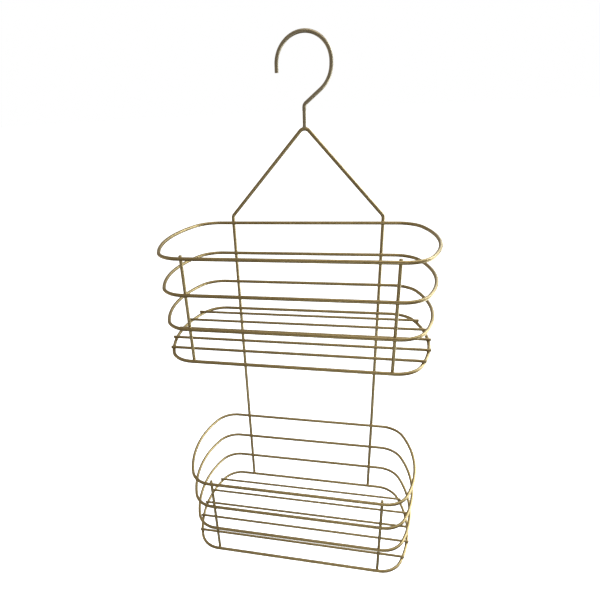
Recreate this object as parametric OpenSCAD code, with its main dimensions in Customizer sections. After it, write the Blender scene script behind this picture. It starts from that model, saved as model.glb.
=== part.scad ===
// Hanging two-tier wire shower caddy.
// All pieces are round wire with plain cut ends, joined by resistance welds.
// X runs along the baskets, +Y points to the wall and +Z is up.
// The origin is the top of the hook's inside, where the caddy hangs on a pipe.

/* [Wire sizes] */
// Diameter of the hook wire
hook_wire = 3.5; // [2.5:0.1:5]
// Diameter of the hanging frame's wire
frame_wire = 3.5; // [2.5:0.1:5]
// Diameter of the basket rings' wire
ring_wire = 3.3; // [2:0.1:4]
// Diameter of the two front uprights of each basket
upright_wire = 3; // [2:0.1:4]
// Diameter of the wires that make each basket's floor
floor_wire = 2.8; // [1.5:0.1:3]
// Depth that two crossing wires sink into each other at a weld
weld_sink = 0.3; // [0.1:0.05:0.5]

/* [Hook] */
// Inside diameter of the hook
hook_bore = 46.5; // [30:0.5:60]
// Straight tip of the hook below its widest point
hook_tip = 6.5; // [2:0.5:15]
// Straight stretch between the round of the hook and the shank's bend
hook_drop = 2; // [1:0.5:10]
// Angle between the slanting shank and the horizontal
shank_slope = 38; // [25:1:55]
// Bend radius between the shank and the neck, at the wire's centre
neck_bend_r = 5; // [4:0.5:8]
// Neck length, from the shank's corner down to the cut end
neck_l = 19.5; // [8:0.5:60]

/* [Frame] */
// Angle between each arm of the roof-shaped top and the horizontal
roof_slope = 47.8; // [35:0.1:62]
// Bend radius at the apex, at the wire's centre
apex_bend_r = 6; // [4:0.5:12]
// Bend radius at each shoulder, at the wire's centre
shoulder_bend_r = 6; // [4:0.5:12]
// Height of the shoulder corners above the upper basket's top ring
shoulder_rise = 6.5; // [5:0.5:30]
// Distance that each leg stands in from the end of the rings' back straight
leg_inset = 13.5; // [2:0.5:30]

/* [Baskets] */
// Outside width of a basket
basket_w = 253.5; // [210:0.5:340]
// Outside depth of a basket
basket_d = 127.5; // [110:0.5:160]
// Height from a basket's floor ring to its top ring, over the wires
basket_h = 102.5; // [60:0.5:160]
// Height from the lower basket's top ring to the upper basket's
tier_pitch = 252; // [190:1:400]
// Rings round a basket above its floor ring
wall_rings = 3; // [2:1:4]
// Corner radius of a ring, at the wire's centre
corner_r = 26; // [18:1:40]
// Angle that each corner turns through before the bowed end begins
corner_turn = 66; // [55:1:80]
// Wires lying lengthwise on the floor ring
floor_wires = 5; // [3:1:5]
// Distance between neighbouring floor wires
floor_pitch = 21; // [10:0.5:24]
// Length that each floor wire's cut end stands out past the ring's wire
floor_overhang = 0.5; // [0:0.1:3]
// Distance that each front upright stands in from the end of the front straight
upright_inset = 1.5; // [1:0.5:60]
// Height that the front uprights stand above the top ring's wire
upright_rise = 0.5; // [0:0.1:5]

/* [Hidden] */
$fn = 72;
tiers = ["upper", "lower"];
sides = ["left", "right"];
wall_names = ["top_ring", "second_ring", "third_ring", "fourth_ring"];

satin_gold = [0.60, 0.50, 0.31];
// Sides of a bent wire's section, and the largest turn between two sections
wire_sides = 20;
bend_facet = 6;
// Least length of the part of a straight that isn't whole millimetres
shortest_rest = 0.1;

// Hook, from the seat down to the neck's cut end
hook_r = (hook_bore + hook_wire) / 2;
hook_centre_z = -hook_bore / 2;
shank_top_x = hook_r * sin(shank_slope);
shank_top_z = hook_centre_z - hook_drop - hook_r * cos(shank_slope);
neck_corner_z = shank_top_z - shank_top_x * tan(shank_slope);
neck_turn = 90 - shank_slope;
neck_tangent = neck_bend_r * tan(neck_turn / 2);
neck_end_z = neck_corner_z - neck_l;

// Ring outline: a straight, a corner arc and a bowed end arc that meet tangentially
ring_half_w = (basket_w - ring_wire) / 2;
ring_half_d = (basket_d - ring_wire) / 2;
end_half_angle = 90 - corner_turn;
end_r = corner_r + (ring_half_d - corner_r) / sin(end_half_angle);
end_centre_x = ring_half_w - end_r;
straight_half = end_centre_x + (end_r - corner_r) * cos(end_half_angle);
ring_back_y = -((frame_wire + ring_wire) / 2 - weld_sink);
ring_mid_y = ring_back_y - ring_half_d;
ring_front_y = ring_back_y - 2 * ring_half_d;

// Frame wire, one piece from leg to leg
leg_x = straight_half - leg_inset;
roof_h = leg_x * tan(roof_slope);
apex_top_z = neck_end_z + weld_sink - frame_wire / 2;
apex_corner_z = apex_top_z + apex_bend_r * (1 / cos(roof_slope) - 1);
apex_tangent = apex_bend_r * tan(roof_slope);
shoulder_z = apex_corner_z - roof_h;
shoulder_turn = 90 - roof_slope;
shoulder_tangent = shoulder_bend_r * tan(shoulder_turn / 2);
roof_l = norm([leg_x, roof_h]);

// Levels of the two baskets
top_ring_z = [shoulder_z - shoulder_rise, shoulder_z - shoulder_rise - tier_pitch];
floor_drop = basket_h - ring_wire;
ring_pitch = floor_drop / wall_rings;
leg_end_z = top_ring_z[1] - floor_drop - ring_wire / 2;

// Places of the pieces that are welded to the rings
upright_x = straight_half - upright_inset;
upright_y = ring_front_y + (ring_wire + upright_wire) / 2 - weld_sink;
floor_wire_rise = (ring_wire + floor_wire) / 2 - weld_sink;
function floor_wire_offset(i) = floor_pitch * ((floor_wires + 1) / 2 - i);
corner_start = end_r * sin(end_half_angle);
// Distance from the ring's middle to its wire's centre, at an offset from its mid-depth
function ring_reach(offset) = abs(offset) < corner_start
    ? end_centre_x + sqrt(pow(end_r, 2) - pow(offset, 2))
    : straight_half + sqrt(pow(corner_r, 2) - pow(abs(offset) - ring_half_d + corner_r, 2));

// Move in whole millimetres, thousandths and the rest, so that the pieces of a bent
// wire meet exactly
module place(p) {
    whole = [for (v = p) round(v)];
    fine = [for (v = p - whole) round(1000 * v) / 1000];
    translate(whole)
        translate(fine)
            translate(p - whole - fine)
                children();
}

// Straight round wire up the Z axis, in whole millimetres and the rest, for the same reason
module straight(d, l) {
    whole = floor(l - shortest_rest);
    cylinder(d = d, h = whole);
    translate([0, 0, whole]) cylinder(d = d, h = l - whole);
}

// Bent round wire about the Z axis, from angle start through angle sweep
module bend(r, d, start, sweep) {
    rotate_extrude(angle = sweep, start = start)
        place([r, 0])
            circle(d = d);
}

// A bent wire's route in the XZ plane is a list of steps. A step is [length, 0] for a
// straight, or [radius, turn] for a bend, whose turn is positive to the left.
// A place on the route is [x, z, heading].
function left_of(heading) = [-sin(heading), cos(heading)];
function advance(at, step, share) = step[1] == 0
    ? [at.x + share * step[0] * cos(at.z), at.y + share * step[0] * sin(at.z), at.z]
    : let (
        arm = step[0] * sign(step[1]),
        heading = at.z + share * step[1],
        centre = [at.x, at.y] + arm * left_of(at.z),
        point = centre - arm * left_of(heading)
    ) [point.x, point.y, heading];
function route(at, steps, i = 0) = i == len(steps)
    ? [at]
    : let (parts = max(1, ceil(abs(steps[i][1]) / bend_facet)))
        concat(
            [for (k = [0:parts - 1]) advance(at, steps[i], k / parts)],
            route(advance(at, steps[i], 1), steps, i + 1)
        );

// Round wire along a route
module bent_wire(start, steps, d) {
    stations = route(start, steps);
    last = len(stations) - 1;
    points = [
        for (at = stations, k = [0:wire_sides - 1])
            let (across = d / 2 * cos(k * 360 / wire_sides) * left_of(at.z))
                [at.x + across.x, d / 2 * sin(k * 360 / wire_sides), at.y + across.y]
    ];
    walls = [
        for (s = [0:last - 1], k = [0:wire_sides - 1])
            let (next = (k + 1) % wire_sides, here = s * wire_sides, there = here + wire_sides)
                [here + k, there + k, there + next, here + next]
    ];
    first_end = [for (k = [0:wire_sides - 1]) k];
    last_end = [for (k = [wire_sides - 1:-1:0]) last * wire_sides + k];
    polyhedron(points, concat([first_end, last_end], walls));
}

module hook() color(satin_gold) {
    shank_l = shank_top_x / cos(shank_slope) - neck_tangent;
    bent_wire(
        [-hook_r, hook_centre_z - hook_tip, 90],
        [
            [hook_tip, 0],
            [hook_r, -180],
            [hook_drop, 0],
            [hook_r, -neck_turn],
            [shank_l, 0],
            [neck_bend_r, neck_turn],
            [neck_l - neck_tangent, 0]
        ],
        hook_wire
    );
}

module frame_wire_piece() color(satin_gold) {
    leg_l = shoulder_z - shoulder_tangent - leg_end_z;
    arm_l = roof_l - apex_tangent - shoulder_tangent;
    bent_wire(
        [-leg_x, leg_end_z, 90],
        [
            [leg_l, 0],
            [shoulder_bend_r, -shoulder_turn],
            [arm_l, 0],
            [apex_bend_r, -2 * roof_slope],
            [arm_l, 0],
            [shoulder_bend_r, -shoulder_turn],
            [leg_l, 0]
        ],
        frame_wire
    );
}

module ring(z) color(satin_gold) {
    end_sweep = 2 * end_half_angle;
    corner_y = ring_half_d - corner_r;
    place([0, ring_mid_y, z]) {
        for (front = [-1, 1], side = [-1, 1]) {
            place([0, front * ring_half_d, 0])
                rotate([0, side * 90, 0])
                    straight(ring_wire, straight_half);
        }
        for (side = [-1, 1]) {
            end_start = 90 - side * 90 - end_half_angle;
            place([side * end_centre_x, 0, 0]) bend(end_r, ring_wire, end_start, end_sweep);
        }
        for (quarter = [0:3]) {
            across = quarter == 0 || quarter == 3 ? 1 : -1;
            back = quarter < 2 ? 1 : -1;
            start = quarter * 90 + (quarter % 2 == 0 ? end_half_angle : 0);
            place([across * straight_half, back * corner_y, 0])
                bend(corner_r, ring_wire, start, corner_turn);
        }
    }
}

module floor_rod(floor_z, i) color(satin_gold) {
    offset = floor_wire_offset(i);
    reach = ring_reach(offset) + ring_wire / 2 + floor_overhang;
    place([-reach, ring_mid_y + offset, floor_z + floor_wire_rise])
        rotate([0, 90, 0])
            cylinder(d = floor_wire, h = 2 * reach);
}

module front_upright(top_z, x) color(satin_gold) {
    tip_z = top_z + ring_wire / 2 + upright_rise;
    foot_z = top_z - floor_drop - ring_wire / 2;
    place([x, upright_y, foot_z]) cylinder(d = upright_wire, h = tip_z - foot_z);
}

hook();
frame_wire_piece();  // frame_wire

for (t = [0, 1]) {
    top_z = top_ring_z[t];
    floor_z = top_z - floor_drop;
    for (level = [0:wall_rings - 1]) {
        name = str(tiers[t], "_", wall_names[level]);
        ring(top_z - level * ring_pitch);
    }
    floor_name = str(tiers[t], "_floor_ring");
    ring(floor_z);
    for (i = [1:floor_wires]) {
        name = str(tiers[t], "_floor_wire_", i);
        floor_rod(floor_z, i);
    }
    for (s = [0, 1]) {
        name = str(tiers[t], "_front_upright_", sides[s]);
        front_upright(top_z, (2 * s - 1) * upright_x);
    }
}
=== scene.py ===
"""A two-tier shower caddy of bent and welded wire in satin gold, hung from its hook.

The rings of both baskets are the CAD solids. The hook, the frame wire, the floor wires
and the front uprights are rebuilt here as finer wires with deburred cut ends, and every
weld gets its own small bead. All lengths are in metres, in the frame of the CAD part.
"""

import math

import bpy
from mathutils import Matrix, Vector, noise


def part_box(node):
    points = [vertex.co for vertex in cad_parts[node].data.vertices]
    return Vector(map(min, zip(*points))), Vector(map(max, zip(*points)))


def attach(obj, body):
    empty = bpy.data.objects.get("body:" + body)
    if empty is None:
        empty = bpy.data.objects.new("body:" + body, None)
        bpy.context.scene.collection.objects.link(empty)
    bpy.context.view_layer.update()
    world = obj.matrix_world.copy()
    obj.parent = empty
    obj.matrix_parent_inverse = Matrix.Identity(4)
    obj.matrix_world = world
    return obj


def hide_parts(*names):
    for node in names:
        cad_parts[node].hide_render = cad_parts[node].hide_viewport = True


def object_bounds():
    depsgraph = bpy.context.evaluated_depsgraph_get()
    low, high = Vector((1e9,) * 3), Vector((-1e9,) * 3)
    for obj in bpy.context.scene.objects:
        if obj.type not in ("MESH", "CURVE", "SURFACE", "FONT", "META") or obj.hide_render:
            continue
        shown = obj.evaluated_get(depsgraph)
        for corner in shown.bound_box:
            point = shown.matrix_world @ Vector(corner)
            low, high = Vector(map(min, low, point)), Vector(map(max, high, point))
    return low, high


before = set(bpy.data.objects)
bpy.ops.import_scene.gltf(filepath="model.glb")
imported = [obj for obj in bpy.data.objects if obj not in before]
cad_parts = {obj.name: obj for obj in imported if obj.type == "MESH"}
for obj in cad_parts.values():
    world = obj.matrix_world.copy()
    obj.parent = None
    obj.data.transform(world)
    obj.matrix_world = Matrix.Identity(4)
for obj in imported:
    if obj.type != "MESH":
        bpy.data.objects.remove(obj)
cad_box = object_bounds()

MM = 0.001
TIERS = ("upper", "lower")
LEVELS = ("top_ring", "second_ring", "third_ring", "floor_ring")
FLOOR_WIRES = 5

# Axis numbers and directions
AXIS_X, AXIS_Y, AXIS_Z = 0, 1, 2
RIGHT = Vector((1, 0, 0))
BACK = Vector((0, 1, 0))
UP = Vector((0, 0, 1))

# Centreline of the hook, from its free tip to the neck's cut end
HOOK_R = 25.0 * MM
HOOK_TIP = 6.5 * MM
HOOK_DROP = 2.0 * MM
SHANK_SLOPE = math.radians(38)
NECK_BEND_R = 5.0 * MM

# Centreline of the frame wire, from leg to leg
ROOF_SLOPE = math.radians(47.8)
APEX_BEND_R = 6.0 * MM
SHOULDER_BEND_R = 6.0 * MM

# Outline of a ring
CORNER_R = 26.0 * MM
CORNER_TURN = math.radians(66)

# How finely the wires are made, and the rounded edge of a cut end
WIRE_SIDES = 48
BEND_STEP = math.radians(3)
STRAIGHT_STEP = 6.0 * MM
END_ROUND = 0.35 * MM
END_RINGS = 5

# A weld bead: how far it reaches from the other wire, its stand-off in the corner between the
# wires, points round it, rows across it, how deep its edges dip, and its gap to a wire's end
WELD_BLEND = 0.9 * MM
WELD_THROAT = WELD_BLEND / 4
WELD_ROUND = 32
WELD_ACROSS = 8
WELD_TUCK = 0.06 * MM
END_MARGIN = 0.05 * MM

# The butt weld between the neck and the frame: half sizes in hook wire radii, and its lumps
NUGGET_SIZE = (1.22, 0.97, 0.9)
NUGGET_RINGS = 20
NUGGET_SIDES = 40
NUGGET_LUMP = 0.05
NUGGET_LUMP_SCALE = 2.2
NUGGET_SEED = 3.1

# Satin lacquer: noise scales per metre, and strengths
MOTTLE_SCALE = 55
MOTTLE_DETAIL = 4
SCUFF_SCALE = 420
PEEL_SCALE = 1400
FINE_DETAIL = 3
NOISE_LOW, NOISE_HIGH = 0.3, 0.7
ROUGHNESS = 0.48
ROUGHNESS_SPREAD = 0.06
PEEL_STRENGTH = 0.04
PEEL_HEIGHT = 0.05 * MM
COAT_WEIGHT = 0.35
COAT_ROUGHNESS = 0.3
EDGE_TINT = (0.95, 0.95, 0.95, 1)

# Light tone, dark tone and noise seed of each kind of wire
GOLDS = {
    "hook": ((0.45, 0.365, 0.225), (0.37, 0.30, 0.185), 1.3),
    "frame": ((0.46, 0.345, 0.16), (0.375, 0.275, 0.12), 2.7),
    "rings": ((0.455, 0.335, 0.145), (0.375, 0.27, 0.11), 4.1),
    "uprights": ((0.45, 0.335, 0.15), (0.37, 0.27, 0.11), 5.9),
    "floor": ((0.44, 0.325, 0.145), (0.36, 0.26, 0.11), 7.7),
}

# Floor of the studio
STAGE_RADIUS = 30
STAGE_SIDES = 128
STAGE_DROP = 0.25
STAGE_GREY = (0.9, 0.9, 0.9, 1)
STAGE_ROUGHNESS = 0.9
STAGE_GLOW = 1.1

# Softboxes: name, direction from the object, strength, size and distance in metres, colour
WHITE = (1, 1, 1)
DAYLIGHT = (0.80, 0.91, 1.0)
SOFTBOXES = (
    ("window", (0.69, 0.50, 0.53), 0.55, 0.8, 1.6, DAYLIGHT),
    ("back_high", (0.35, 0.85, 0.35), 0.12, 0.9, 1.6, DAYLIGHT),
    ("right_near", (0.90, 0.38, -0.25), 0.9, 0.7, 0.75, DAYLIGHT),
    ("back_left", (-0.60, 0.78, -0.15), 0.04, 1.1, 1.6, WHITE),
    ("left_low", (-0.92, 0.10, -0.35), 0.13, 1.1, 1.6, WHITE),
    ("overhead", (0.20, 0.00, 1.00), 0.27, 1.1, 1.6, WHITE),
    ("front_low", (0.10, -0.85, -0.55), 0.26, 1.1, 1.6, DAYLIGHT),
)

# Brightness of the room that the wires mirror, from below to above the object, and the
# heights of a view direction between which it changes
ROOM_TINT = (1, 0.97, 0.93, 1)
ROOM_BELOW = 0.18
ROOM_ABOVE = 0.37
ROOM_LOW_END, ROOM_HIGH_END = -0.7, 0.4

CAMERA_PLACE = Vector((65.496, -478.993, -50.863)) * MM
CAMERA_TURN = 0.22228
CAMERA_TILT = 0.45441
CAMERA_ROLL = -0.05289
CAMERA_SENSOR = 36
CAMERA_LENS = 27.955
CAMERA_SHIFT = (0.048, 0.0448)
CAMERA_NEAR = 0.01


# ---------------------------------------------------------------- measures from the CAD


def wire_radius(node, axis):
    """Half a node's size along an axis where it is just one wire thick."""
    low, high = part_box(node)
    return (high[axis] - low[axis]) / 2


def middle(node):
    low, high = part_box(node)
    return (low + high) / 2


HOOK_WIRE = wire_radius("hook", AXIS_Y)
FRAME_WIRE = wire_radius("frame_wire", AXIS_Y)
RING_WIRE = wire_radius("upper_top_ring", AXIS_Z)
UPRIGHT_WIRE = wire_radius("upper_front_upright_left", AXIS_X)
FLOOR_WIRE = wire_radius("upper_floor_wire_3", AXIS_Z)
LEG_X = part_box("frame_wire")[1].x - FRAME_WIRE


def ring_outline():
    """A ring's middle in y, its half width and the radius of its bowed ends, at the wire's centre."""
    low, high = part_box("upper_top_ring")
    half_w = (high.x - low.x) / 2 - RING_WIRE
    half_d = (high.y - low.y) / 2 - RING_WIRE
    end_angle = math.pi / 2 - CORNER_TURN
    end_r = CORNER_R + (half_d - CORNER_R) / math.sin(end_angle)
    return (low.y + high.y) / 2, half_w, end_r


RING_MID_Y, RING_HALF_W, END_R = ring_outline()


# ---------------------------------------------------------------- wires as swept meshes


def route(start, heading, steps):
    """Points and headings in the XZ plane along straights (length, 0) and bends (radius, turn)."""
    x, z = start
    stations = [(x, z, heading)]
    for size, turn in steps:
        count = max(1, math.ceil((abs(turn) / BEND_STEP) if turn else size / STRAIGHT_STEP))
        x0, z0, heading0 = x, z, heading
        for i in range(1, count + 1):
            share = i / count
            if turn:
                arm = math.copysign(size, turn)
                heading = heading0 + share * turn
                x = x0 + arm * (math.sin(heading) - math.sin(heading0))
                z = z0 - arm * (math.cos(heading) - math.cos(heading0))
            else:
                x = x0 + share * size * math.cos(heading0)
                z = z0 + share * size * math.sin(heading0)
            stations.append((x, z, heading))
    return stations


def end_profile(radius):
    """(distance from the cut face, radius there) across a cut end's rounded edge."""
    rows = []
    for i in range(END_RINGS + 1):
        angle = math.pi / 2 * i / END_RINGS
        rows.append((END_ROUND * (1 - math.sin(angle)), radius - END_ROUND * (1 - math.cos(angle))))
    return rows[::-1]


def band_faces(rows, sides, first=0):
    """Quads between neighbouring rows of points, each row a closed ring of sides points."""
    faces = []
    for row in range(rows - 1):
        here = first + row * sides
        there = here + sides
        for k in range(sides):
            j = (k + 1) % sides
            faces.append((here + k, here + j, there + j, there + k))
    return faces


def sweep(points, directions, radius, side):
    """Round wire through points. side is a vector square to the whole wire."""
    profile = end_profile(radius)
    start, end = directions[0], directions[-1]
    rows = [(points[0] + start * back, start, r) for back, r in profile]
    rows += [(point, direction, radius) for point, direction in zip(points, directions)][1:-1]
    rows += [(points[-1] - end * back, end, r) for back, r in reversed(profile)]

    verts = []
    for centre, direction, r in rows:
        up = direction.cross(side).normalized()
        for k in range(WIRE_SIDES):
            angle = 2 * math.pi * k / WIRE_SIDES
            verts.append(centre + r * (math.cos(angle) * up + math.sin(angle) * side))
    faces = band_faces(len(rows), WIRE_SIDES)
    top = (len(rows) - 1) * WIRE_SIDES
    faces.append(tuple(reversed(range(WIRE_SIDES))))
    faces.append(tuple(range(top, top + WIRE_SIDES)))
    return verts, faces


def straight_wire(start, end, radius, side):
    length = (end - start).length
    direction = (end - start) / length
    count = max(2, math.ceil(length / STRAIGHT_STEP))
    points = [start.lerp(end, i / count) for i in range(count + 1)]
    return sweep(points, [direction] * (count + 1), radius, side)


def bent_wire(stations, radius):
    points = [Vector((x, 0, z)) for x, z, _ in stations]
    directions = [Vector((math.cos(h), 0, math.sin(h))) for _, _, h in stations]
    return sweep(points, directions, radius, BACK)


# ---------------------------------------------------------------- weld beads


def weld_bead(contact, normal, along_a, radius_a, along_b, radius_b, gap, ends):
    """The concave bead where wire b crosses wire a.

    normal points from a's axis to b's, and gap is the distance between the axes. Each point
    of the bead is at a chosen distance from both wires, so that it leaves each one smoothly.
    The bead is closed by caps inside the wires. ends gives an axis number and the lowest and
    highest place along it that the bead may reach, because a wire ends there.
    """
    across = normal.cross(along_a).normalized()
    base = along_a.normalized()
    angle_b = math.atan2(along_b.dot(across), along_b.dot(base))
    origin = contact - normal * radius_a
    shares = [1 - 2 * i / WELD_ACROSS for i in range(WELD_ACROSS + 1)]
    levels = []
    for share in shares:
        near = WELD_THROAT * (1 - abs(share)) ** 2
        far = near + abs(share) * WELD_BLEND
        levels.append((near, far) if share >= 0 else (far, near))
    levels = [(-WELD_TUCK, WELD_BLEND)] + levels + [(WELD_BLEND, -WELD_TUCK)]
    verts = []
    for from_a, from_b in levels:
        reach_a, reach_b = radius_a + from_a, radius_b + from_b
        for k in range(WELD_ROUND):
            angle = 2 * math.pi * (k + 0.5) / WELD_ROUND
            share_a = math.sin(angle) ** 2
            share_b = math.sin(angle - angle_b) ** 2
            c = share_b * reach_a**2 - share_a * (reach_b**2 - gap**2)
            root = math.sqrt(max(0, (gap * share_a) ** 2 - (share_a - share_b) * c))
            height = c / (gap * share_a + root)
            if share_a > share_b:
                out = math.sqrt(max(0, (reach_a**2 - height**2) / share_a))
            else:
                out = math.sqrt(max(0, (reach_b**2 - (height - gap) ** 2) / share_b))
            flat = out * (math.cos(angle) * base + math.sin(angle) * across)
            point = origin + flat + height * normal
            axis, low, high = ends
            point[axis] = min(max(point[axis], low + END_MARGIN), high - END_MARGIN)
            verts.append(point)
    faces = band_faces(len(levels), WELD_ROUND)
    for row, depth in ((0, radius_a / 2), (len(levels) - 1, gap - radius_b / 2)):
        verts.append(origin + depth * normal)
        hub = len(verts) - 1
        for k in range(WELD_ROUND):
            j = (k + 1) % WELD_ROUND
            a, b = row * WELD_ROUND + k, row * WELD_ROUND + j
            faces.append((hub, b, a) if row == 0 else (hub, a, b))
    return verts, faces


def weld_nugget(centre, radii, seed):
    """A small lumpy closed bead, for the butt weld between the neck and the frame."""
    verts = [centre + Vector((0, 0, radii.z))]
    for i in range(1, NUGGET_RINGS):
        tilt = math.pi * i / NUGGET_RINGS
        for k in range(NUGGET_SIDES):
            turn = 2 * math.pi * k / NUGGET_SIDES
            flat = math.sin(tilt)
            d = Vector((flat * math.cos(turn), flat * math.sin(turn), math.cos(tilt)))
            lump = 1 + NUGGET_LUMP * noise.noise(d * NUGGET_LUMP_SCALE + Vector((seed, 0, 0)))
            verts.append(centre + lump * Vector((d.x * radii.x, d.y * radii.y, d.z * radii.z)))
    verts.append(centre - Vector((0, 0, radii.z)))

    faces = [(0, 1 + k, 1 + (k + 1) % NUGGET_SIDES) for k in range(NUGGET_SIDES)]
    bands = band_faces(NUGGET_RINGS - 1, NUGGET_SIDES, first=1)
    faces += [(a, d, c, b) for a, b, c, d in bands]
    bottom, ring = len(verts) - 1, 1 + (NUGGET_RINGS - 2) * NUGGET_SIDES
    faces += [
        (bottom, ring + (k + 1) % NUGGET_SIDES, ring + k) for k in range(NUGGET_SIDES)
    ]
    return verts, faces


# ---------------------------------------------------------------- pieces


def piece(name, shells, node, material):
    """One object of several closed shells, which stands for a CAD node."""
    verts, faces = [], []
    for shell_verts, shell_faces in shells:
        base = len(verts)
        verts += shell_verts
        faces += [tuple(base + i for i in face) for face in shell_faces]
    mesh = bpy.data.meshes.new(name)
    mesh.from_pydata(verts, [], faces)
    mesh.validate()
    mesh.update()
    for polygon in mesh.polygons:
        polygon.use_smooth = len(polygon.vertices) <= 4
    obj = bpy.data.objects.new(name, mesh)
    bpy.context.scene.collection.objects.link(obj)
    obj.data.materials.append(material)
    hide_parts(node)
    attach(obj, "root")


def hook_piece(material):
    low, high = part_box("hook")
    centre_z = high.z - HOOK_WIRE - HOOK_R
    shank_top_x = HOOK_R * math.sin(SHANK_SLOPE)
    neck_turn = math.pi / 2 - SHANK_SLOPE
    neck_tangent = NECK_BEND_R * math.tan(neck_turn / 2)
    shank_l = shank_top_x / math.cos(SHANK_SLOPE) - neck_tangent
    shank_top_z = centre_z - HOOK_DROP - HOOK_R * math.cos(SHANK_SLOPE)
    neck_corner_z = shank_top_z - shank_top_x * math.tan(SHANK_SLOPE)
    steps = [
        (HOOK_TIP, 0),
        (HOOK_R, -math.pi),
        (HOOK_DROP, 0),
        (HOOK_R, -neck_turn),
        (shank_l, 0),
        (NECK_BEND_R, neck_turn),
        (neck_corner_z - neck_tangent - low.z, 0),
    ]
    stations = route((-HOOK_R, centre_z - HOOK_TIP), math.pi / 2, steps)
    foot = Vector((0, 0, low.z))
    nugget_size = Vector([share * HOOK_WIRE for share in NUGGET_SIZE])
    nugget = weld_nugget(foot, nugget_size, NUGGET_SEED)
    shells = [bent_wire(stations, HOOK_WIRE), nugget]
    piece("hook_wire_fine", shells, "hook", material)


def frame_piece(material):
    low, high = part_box("frame_wire")
    apex_corner_z = high.z - FRAME_WIRE + APEX_BEND_R * (1 / math.cos(ROOF_SLOPE) - 1)
    roof_h = LEG_X * math.tan(ROOF_SLOPE)
    turn = math.pi / 2 - ROOF_SLOPE
    shoulder_tangent = SHOULDER_BEND_R * math.tan(turn / 2)
    arm_l = math.hypot(LEG_X, roof_h) - APEX_BEND_R * math.tan(ROOF_SLOPE) - shoulder_tangent
    leg_l = apex_corner_z - roof_h - shoulder_tangent - low.z
    steps = [
        (leg_l, 0),
        (SHOULDER_BEND_R, -turn),
        (arm_l, 0),
        (APEX_BEND_R, -2 * ROOF_SLOPE),
        (arm_l, 0),
        (SHOULDER_BEND_R, -turn),
        (leg_l, 0),
    ]
    shells = [bent_wire(route((-LEG_X, low.z), math.pi / 2, steps), FRAME_WIRE)]
    for tier in TIERS:
        for level in LEVELS:
            ring = f"{tier}_{level}"
            z = middle(ring).z
            gap = -(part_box(ring)[1].y - RING_WIRE)
            for side in (-1, 1):
                contact = Vector((side * LEG_X, -FRAME_WIRE, z))
                shells.append(
                    weld_bead(
                        contact, -BACK, UP, FRAME_WIRE,
                        RIGHT, RING_WIRE, gap, (AXIS_Z, low.z, high.z),
                    )
                )
    piece("frame_wire_fine", shells, "frame_wire", material)


def floor_wire_piece(tier, i, material):
    node = f"{tier}_floor_wire_{i}"
    low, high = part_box(node)
    _, y, z = middle(node)
    shells = [straight_wire(Vector((low.x, y, z)), Vector((high.x, y, z)), FLOOR_WIRE, BACK)]
    ring_z = middle(f"{tier}_floor_ring").z
    offset = y - RING_MID_Y
    lean = math.asin(offset / END_R)
    reach = RING_HALF_W - END_R + END_R * math.cos(lean)
    for end in (-1, 1):
        along_ring = Vector((-end * math.sin(lean), math.cos(lean), 0))
        contact = Vector((end * reach, y, ring_z + RING_WIRE))
        shells.append(
            weld_bead(
                contact, UP, along_ring, RING_WIRE,
                RIGHT, FLOOR_WIRE, z - ring_z, (AXIS_X, low.x, high.x),
            )
        )
    piece(f"{node}_fine", shells, node, material)


def upright_piece(tier, side_name, material):
    node = f"{tier}_front_upright_{side_name}"
    low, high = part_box(node)
    x, y, _ = middle(node)
    shells = [straight_wire(Vector((x, y, low.z)), Vector((x, y, high.z)), UPRIGHT_WIRE, BACK)]
    for level in LEVELS:
        ring = f"{tier}_{level}"
        ring_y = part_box(ring)[0].y + RING_WIRE
        contact = Vector((x, ring_y + RING_WIRE, middle(ring).z))
        shells.append(
            weld_bead(
                contact, BACK, RIGHT, RING_WIRE,
                UP, UPRIGHT_WIRE, y - ring_y, (AXIS_Z, low.z, high.z),
            )
        )
    piece(f"{node}_fine", shells, node, material)


# ---------------------------------------------------------------- materials


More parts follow.
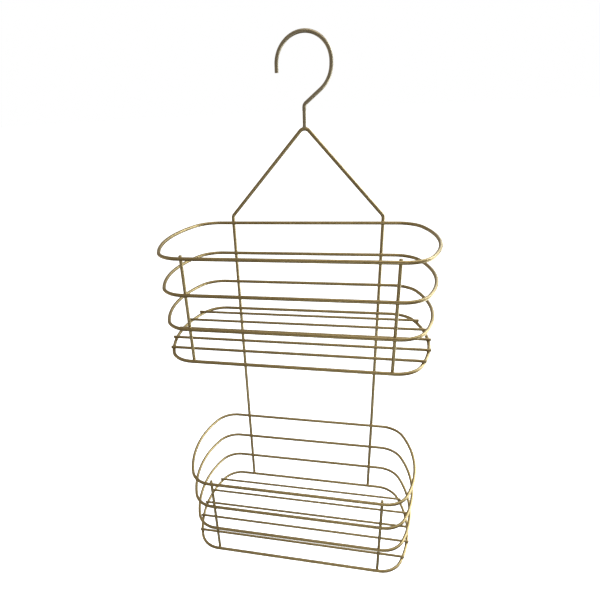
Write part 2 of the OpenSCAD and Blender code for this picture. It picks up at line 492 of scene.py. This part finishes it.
def satin_gold(kind):
    """Satin metallic lacquer on steel: mottled tone, orange-peel bump and fine scuffs."""
    light, dark, seed = GOLDS[kind]
    material = bpy.data.materials.new(f"satin_gold_{kind}")
    material.use_nodes = True
    nodes, links = material.node_tree.nodes, material.node_tree.links
    shader = nodes["Principled BSDF"]
    shader.inputs["Metallic"].default_value = 1.0
    shader.inputs["Specular Tint"].default_value = EDGE_TINT
    shader.inputs["Coat Weight"].default_value = COAT_WEIGHT
    shader.inputs["Coat Roughness"].default_value = COAT_ROUGHNESS

    place = nodes.new("ShaderNodeTexCoord")
    shift = nodes.new("ShaderNodeMapping")
    shift.inputs["Location"].default_value = (seed, 2 * seed, 3 * seed)
    links.new(place.outputs["Object"], shift.inputs["Vector"])

    def grain(scale, detail):
        texture = nodes.new("ShaderNodeTexNoise")
        texture.inputs["Scale"].default_value = scale
        texture.inputs["Detail"].default_value = detail
        links.new(shift.outputs["Vector"], texture.inputs["Vector"])
        return texture.outputs["Fac"]

    def ramp(source, low, high):
        curve = nodes.new("ShaderNodeMapRange")
        curve.inputs["From Min"].default_value = NOISE_LOW
        curve.inputs["From Max"].default_value = NOISE_HIGH
        curve.inputs["To Min"].default_value = low
        curve.inputs["To Max"].default_value = high
        links.new(source, curve.inputs["Value"])
        return curve.outputs["Result"]

    tone = nodes.new("ShaderNodeMix")
    tone.data_type = "RGBA"
    tone.inputs["A"].default_value = (*dark, 1)
    tone.inputs["B"].default_value = (*light, 1)
    mottle = grain(MOTTLE_SCALE, MOTTLE_DETAIL)
    links.new(ramp(mottle, 0, 1), tone.inputs["Factor"])
    links.new(tone.outputs["Result"], shader.inputs["Base Color"])

    smooth, rough = ROUGHNESS - ROUGHNESS_SPREAD, ROUGHNESS + ROUGHNESS_SPREAD
    scuffs = grain(SCUFF_SCALE, FINE_DETAIL)
    links.new(ramp(scuffs, smooth, rough), shader.inputs["Roughness"])

    bump = nodes.new("ShaderNodeBump")
    bump.inputs["Strength"].default_value = PEEL_STRENGTH
    bump.inputs["Distance"].default_value = PEEL_HEIGHT
    links.new(grain(PEEL_SCALE, FINE_DETAIL), bump.inputs["Height"])
    links.new(bump.outputs["Normal"], shader.inputs["Normal"])
    return material


def pale_stage():
    material = bpy.data.materials.new("stage_white")
    material.use_nodes = True
    shader = material.node_tree.nodes["Principled BSDF"]
    shader.inputs["Base Color"].default_value = STAGE_GREY
    shader.inputs["Roughness"].default_value = STAGE_ROUGHNESS
    shader.inputs["Emission Color"].default_value = (1, 1, 1, 1)
    shader.inputs["Emission Strength"].default_value = STAGE_GLOW
    return material


# ---------------------------------------------------------------- scene


def build_object():
    gold = {kind: satin_gold(kind) for kind in GOLDS}
    hook_piece(gold["hook"])
    frame_piece(gold["frame"])
    for tier in TIERS:
        for level in LEVELS:
            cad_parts[f"{tier}_{level}"].material_slots[0].material = gold["rings"]
        for i in range(1, FLOOR_WIRES + 1):
            floor_wire_piece(tier, i, gold["floor"])
        for side in ("left", "right"):
            upright_piece(tier, side, gold["uprights"])


def build_floor():
    low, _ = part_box("frame_wire")
    bpy.ops.mesh.primitive_circle_add(
        vertices=STAGE_SIDES,
        radius=STAGE_RADIUS,
        fill_type="NGON",
        location=(0, 0, low.z - STAGE_DROP),
    )
    floor = bpy.context.object
    floor.name = "floor"
    floor.data.materials.append(pale_stage())
    floor.visible_glossy = False


def softbox(name, direction, strength, size, distance, colour):
    """A round soft light beside the object. Strength 1 lights a facing white card fully."""
    data = bpy.data.lights.new(name, "AREA")
    data.shape = "DISK"
    data.size = size
    data.energy = strength * (math.pi * distance) ** 2
    data.color = colour
    low, high = cad_box
    centre = (Vector(low) + Vector(high)) / 2
    obj = bpy.data.objects.new(name, data)
    obj.location = centre + Vector(direction).normalized() * distance
    obj.rotation_euler = Vector(direction).to_track_quat("Z", "Y").to_euler()
    obj.visible_camera = False
    bpy.context.scene.collection.objects.link(obj)


def build_lights():
    for box in SOFTBOXES:
        softbox(*box)


def build_room():
    """White where the camera looks past the floor, and a dim room that the wires mirror."""
    world = bpy.data.worlds.new("studio")
    bpy.context.scene.world = world
    world.use_nodes = True
    nodes, links = world.node_tree.nodes, world.node_tree.links
    seen = nodes["Background"]
    seen.inputs["Color"].default_value = (1, 1, 1, 1)
    seen.inputs["Strength"].default_value = 1.0
    room = nodes.new("ShaderNodeBackground")
    room.inputs["Color"].default_value = ROOM_TINT
    place = nodes.new("ShaderNodeTexCoord")
    parts = nodes.new("ShaderNodeSeparateXYZ")
    height = nodes.new("ShaderNodeMapRange")
    height.inputs["From Min"].default_value = ROOM_LOW_END
    height.inputs["From Max"].default_value = ROOM_HIGH_END
    height.inputs["To Min"].default_value = ROOM_BELOW
    height.inputs["To Max"].default_value = ROOM_ABOVE
    links.new(place.outputs["Generated"], parts.inputs["Vector"])
    links.new(parts.outputs["Z"], height.inputs["Value"])
    links.new(height.outputs["Result"], room.inputs["Strength"])
    path = nodes.new("ShaderNodeLightPath")
    mix = nodes.new("ShaderNodeMixShader")
    links.new(path.outputs["Is Camera Ray"], mix.inputs["Fac"])
    links.new(room.outputs["Background"], mix.inputs[1])
    links.new(seen.outputs["Background"], mix.inputs[2])
    links.new(mix.outputs["Shader"], nodes["World Output"].inputs["Surface"])
    bpy.context.scene.view_settings.view_transform = "Standard"


def build_camera():
    data = bpy.data.cameras.new("camera")
    data.sensor_width = CAMERA_SENSOR
    data.lens = CAMERA_LENS
    data.shift_x, data.shift_y = CAMERA_SHIFT
    data.clip_start = CAMERA_NEAR
    obj = bpy.data.objects.new("camera", data)
    turn = (
        Matrix.Rotation(CAMERA_TURN, 4, "Z")
        @ Matrix.Rotation(math.pi / 2 - CAMERA_TILT, 4, "X")
        @ Matrix.Rotation(CAMERA_ROLL, 4, "Z")
    )
    obj.matrix_world = Matrix.Translation(CAMERA_PLACE) @ turn
    bpy.context.scene.collection.objects.link(obj)
    bpy.context.scene.camera = obj


build_object()
build_floor()
build_lights()
build_room()
build_camera()
